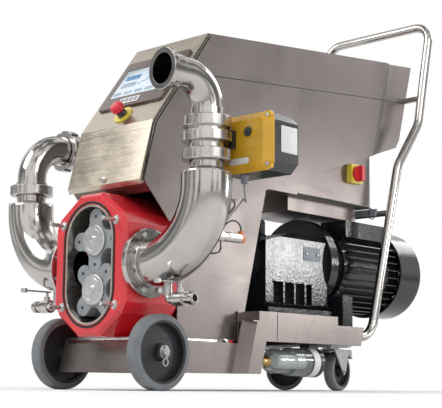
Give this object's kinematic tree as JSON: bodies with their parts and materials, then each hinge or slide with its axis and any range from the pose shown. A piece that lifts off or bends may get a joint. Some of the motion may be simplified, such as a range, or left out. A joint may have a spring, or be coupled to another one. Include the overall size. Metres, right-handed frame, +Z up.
{
  "type": "rotary lobe pump",
  "caption": "Mobile rotary lobe pump on a stainless trolley: open red pump head, polished pipe risers with a motorised valve, sloping control cabinet, gear motor and push handle.",
  "frame": {"origin": "on the floor under the middle of the whole part's bounding box", "axes": "+X across the trolley towards the actuator side, +Y from the pump head to the push handle, +Z up"},
  "size_m": [0.9406, 1.5002, 1.3],
  "materials": {
    "stainless_sheet": "satin cross-brushed",
    "panel_steel": "satin",
    "polished_tube": "polished, drawn lengthwise",
    "red_paint": "gloss enamel",
    "black_enamel": "gloss, orange peel",
    "machined_steel": "turned",
    "rotor_coating": "satin moulded",
    "seal_rubber": "satin",
    "chamber_steel": "satin",
    "actuator_yellow": "semi-gloss, lightly textured",
    "black_plastic": "semi-gloss",
    "grey_plastic": "matt",
    "red_plastic": "gloss",
    "yellow_plastic": "semi-gloss",
    "screen": "gloss glass",
    "tyre_grey": "matt rubber",
    "zinc_steel": "zinc plated",
    "clear_bowl": "clear"
  },
  "bodies": {
    "trolley": {"actuator_base": "actuator_yellow", "actuator_bracket": "black_plastic", "actuator_cable": "grey_plastic", "actuator_cover": "black_plastic", "actuator_gland": "grey_plastic", "cabinet_lid": "stainless_sheet", "cabinet_lower": "stainless_sheet", "casing_seal": "seal_rubber", "caster_plates": "zinc_steel", "chamber_liner": "chamber_steel", "cover_studs": "machined_steel", "display": "screen", "drain_bodies": "polished_tube", "e_stop_ring": "yellow_plastic", "fan_cowl": "black_enamel", "filter_bowl": "clear_bowl", "filter_head": "black_plastic", "front_axle": "zinc_steel", "front_panel": "panel_steel", "gear_case": "red_paint", "gearbox_housing": "black_enamel", "handle_frame": "polished_tube", "isolator_plate": "yellow_plastic", "left_elbow": "polished_tube", "left_upper_elbow": "polished_tube", "line_sensor": "machined_steel", "motor_housing": "black_enamel", "pedestal_cover": "stainless_sheet", "port_bolts": "zinc_steel", "pump_casing": "red_paint", "right_elbow": "polished_tube", "right_upper_elbow": "polished_tube", "sensor_cable": "black_plastic", "shaft_bearings": "machined_steel", "switch_box": "stainless_sheet", "terminal_box": "black_enamel", "trolley_frame": "stainless_sheet", "union_nuts": "polished_tube", "valve_body": "polished_tube"},
    "right_wheel": {"right_wheel": "tyre_grey"},
    "left_wheel": {"left_wheel": "tyre_grey"},
    "right_caster_fork": {"right_caster_fork": "zinc_steel"},
    "left_caster_fork": {"left_caster_fork": "zinc_steel"},
    "right_caster_wheel": {"right_caster_wheel": "tyre_grey"},
    "left_caster_wheel": {"left_caster_wheel": "tyre_grey"},
    "right_caster_pedal": {"right_caster_pedal": "zinc_steel"},
    "left_caster_pedal": {"left_caster_pedal": "zinc_steel"},
    "upper_rotor_set": {"upper_shaft": "machined_steel", "upper_rotor": "rotor_coating", "upper_rotor_cap": "machined_steel", "shaft_coupling": "machined_steel"},
    "lower_rotor_set": {"lower_shaft": "machined_steel", "lower_rotor": "rotor_coating", "lower_rotor_cap": "machined_steel"},
    "motor_rotor": {"motor_rotor": "machined_steel"},
    "valve_disc": {"valve_disc": "machined_steel"},
    "right_drain_lever": {"right_drain_lever": "polished_tube"},
    "left_drain_lever": {"left_drain_lever": "polished_tube"},
    "e_stop_button": {"e_stop_button": "red_plastic"},
    "isolator_knob": {"isolator_knob": "red_plastic"}
  },
  "joints": [
    {"name": "right_wheel_spin", "type": "hinge", "parent": "trolley", "child": "right_wheel", "pos_m": [0.15225, -0.59393, 0.1], "axis": [1, 0, 0], "continuous": true},
    {"name": "right_caster_swivel", "type": "hinge", "parent": "trolley", "child": "right_caster_fork", "pos_m": [0.07825, 0.24107, 0.13], "axis": [0, 0, 1], "continuous": true},
    {"name": "right_caster_spin", "type": "hinge", "parent": "right_caster_fork", "child": "right_caster_wheel", "pos_m": [0.07168, 0.28256, 0.0625], "axis": [0.9877, 0.1564, 0], "continuous": true},
    {"name": "right_caster_brake", "type": "hinge", "parent": "right_caster_fork", "child": "right_caster_pedal", "pos_m": [0.06448, 0.32799, 0.119], "axis": [0.9877, 0.1564, 0], "range_deg": [-12, 0]},
    {"name": "left_wheel_spin", "type": "hinge", "parent": "trolley", "child": "left_wheel", "pos_m": [-0.23775, -0.59393, 0.1], "axis": [1, 0, 0], "continuous": true},
    {"name": "left_caster_swivel", "type": "hinge", "parent": "trolley", "child": "left_caster_fork", "pos_m": [-0.16375, 0.24107, 0.13], "axis": [0, 0, 1], "continuous": true},
    {"name": "left_caster_spin", "type": "hinge", "parent": "left_caster_fork", "child": "left_caster_wheel", "pos_m": [-0.13021, 0.26635, 0.0625], "axis": [0.6018, -0.7986, 0], "continuous": true},
    {"name": "left_caster_brake", "type": "hinge", "parent": "left_caster_fork", "child": "left_caster_pedal", "pos_m": [-0.09347, 0.29403, 0.119], "axis": [0.6018, -0.7986, 0], "range_deg": [-12, 0]},
    {"name": "upper_rotor_spin", "type": "hinge", "parent": "trolley", "child": "upper_rotor_set", "pos_m": [-0.04275, -0.59393, 0.4035], "axis": [0, 1, 0], "continuous": true},
    {"name": "lower_rotor_spin", "type": "hinge", "parent": "trolley", "child": "lower_rotor_set", "pos_m": [-0.04275, -0.59393, 0.2685], "axis": [0, 1, 0], "continuous": true},
    {"name": "motor_spin", "type": "hinge", "parent": "trolley", "child": "motor_rotor", "pos_m": [-0.04275, 0.40607, 0.4035], "axis": [0, 1, 0], "continuous": true},
    {"name": "valve_turn", "type": "hinge", "parent": "trolley", "child": "valve_disc", "pos_m": [0.31825, -0.59393, 0.648], "axis": [0, 1, 0], "range_deg": [0, 90]},
    {"name": "right_drain_turn", "type": "hinge", "parent": "trolley", "child": "right_drain_lever", "pos_m": [0.22925, -0.59393, 0.236], "axis": [0, 0, 1], "range_deg": [0, 90]},
    {"name": "left_drain_turn", "type": "hinge", "parent": "trolley", "child": "left_drain_lever", "pos_m": [-0.31475, -0.59393, 0.236], "axis": [0, 0, 1], "range_deg": [-90, 0]},
    {"name": "e_stop_press", "type": "slide", "parent": "trolley", "child": "e_stop_button", "axis": [0, 0.8074, -0.59], "range_m": [0, 0.006], "stiffness_N_per_m": 300},
    {"name": "isolator_turn", "type": "hinge", "parent": "trolley", "child": "isolator_knob", "pos_m": [0.12725, 0.33807, 0.706], "axis": [1, 0, 0], "range_deg": [-90, 0]}
  ],
  "couplings": [
    {"joint": "lower_rotor_spin", "follows": "upper_rotor_spin", "ratio": -1},
    {"joint": "motor_spin", "follows": "upper_rotor_spin", "ratio": 4}
  ]
}
